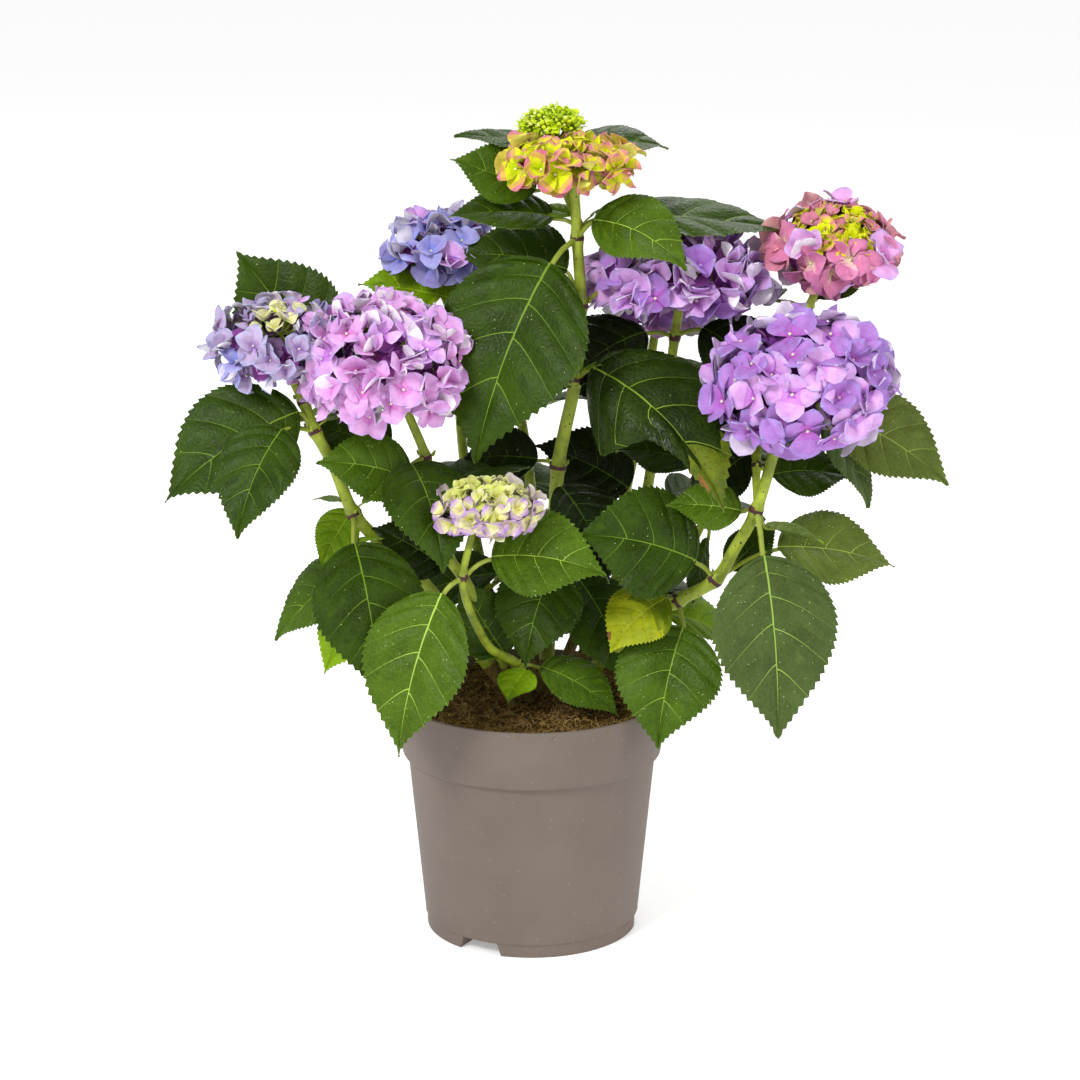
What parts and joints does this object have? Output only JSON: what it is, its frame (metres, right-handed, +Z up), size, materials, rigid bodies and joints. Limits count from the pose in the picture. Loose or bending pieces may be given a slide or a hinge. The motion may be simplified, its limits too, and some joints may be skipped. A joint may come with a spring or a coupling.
{
  "type": "potted bigleaf hydrangea shrub",
  "caption": "Young mophead hydrangea in a round nursery pot, with leaning green canes, broad serrated leaves and blue, violet and pink flower heads.",
  "frame": {"origin": "middle of the pot's flat underside", "axes": "+Z up along the pot's axis, -Y towards the side from which the plant is seen, +X to that viewer's right"},
  "size_m": [0.6377, 0.4166, 0.6907],
  "materials": {
    "pot": "moulded taupe plastic, fine matt grain, dusty",
    "soil": "fibrous dark peat compost",
    "cane": "smooth green stem with purple flecks",
    "leaf": "semi-gloss leaf with raised veins",
    "blossom": "soft matt sepals"
  },
  "bodies": {
    "root": {"pot": "pot", "soil": "soil", "bloom_top_green": "blossom", "bloom_top_young": "blossom", "bloom_left_outer": "blossom", "bloom_left_inner": "blossom", "bloom_back_left": "blossom", "bloom_violet": "blossom", "bloom_far_right": "blossom", "bloom_lavender": "blossom", "bloom_low_front": "blossom", "bloom_rear_left": "blossom", "bloom_rear_right": "blossom", "cane_centre": "cane", "cane_top_fork": "cane", "cane_left": "cane", "cane_left_inner": "cane", "cane_back_left": "cane", "cane_violet": "cane", "cane_right": "cane", "cane_right_side": "cane", "cane_low_front": "cane", "cane_right_inner": "cane", "cane_rear_left": "cane", "cane_rear_right": "cane", "leaves_top_back": "leaf", "leaves_top_side": "leaf", "leaves_top_wide": "leaf", "leaves_centre_high": "leaf", "leaves_centre_folded": "leaf", "leaves_centre_mid": "leaf", "leaves_centre_low": "leaf", "leaves_left_tip": "leaf", "leaves_left_top": "leaf", "leaves_left_hanging": "leaf", "leaves_left_under": "leaf", "leaves_inner_front": "leaf", "leaves_inner_back": "leaf", "leaves_inner_low": "leaf", "leaves_front_low": "leaf", "leaves_front_foot": "leaf", "leaves_back_left_top": "leaf", "leaves_back_left_mid": "leaf", "leaves_back_left_low": "leaf", "leaves_violet_under": "leaf", "leaves_violet_mid": "leaf", "leaves_violet_low": "leaf", "leaves_right_low": "leaf", "leaves_right_mid": "leaf", "leaves_right_high": "leaf", "leaves_side_low": "leaf", "leaves_side_tips": "leaf", "leaves_side_top": "leaf", "leaves_right_tuft": "leaf", "leaves_right_under": "leaf", "leaves_rear_left_low": "leaf", "leaves_rear_left_mid": "leaf", "leaves_rear_left_top": "leaf", "leaves_rear_right_low": "leaf", "leaves_rear_right_top": "leaf"}
  },
  "joints": []
}
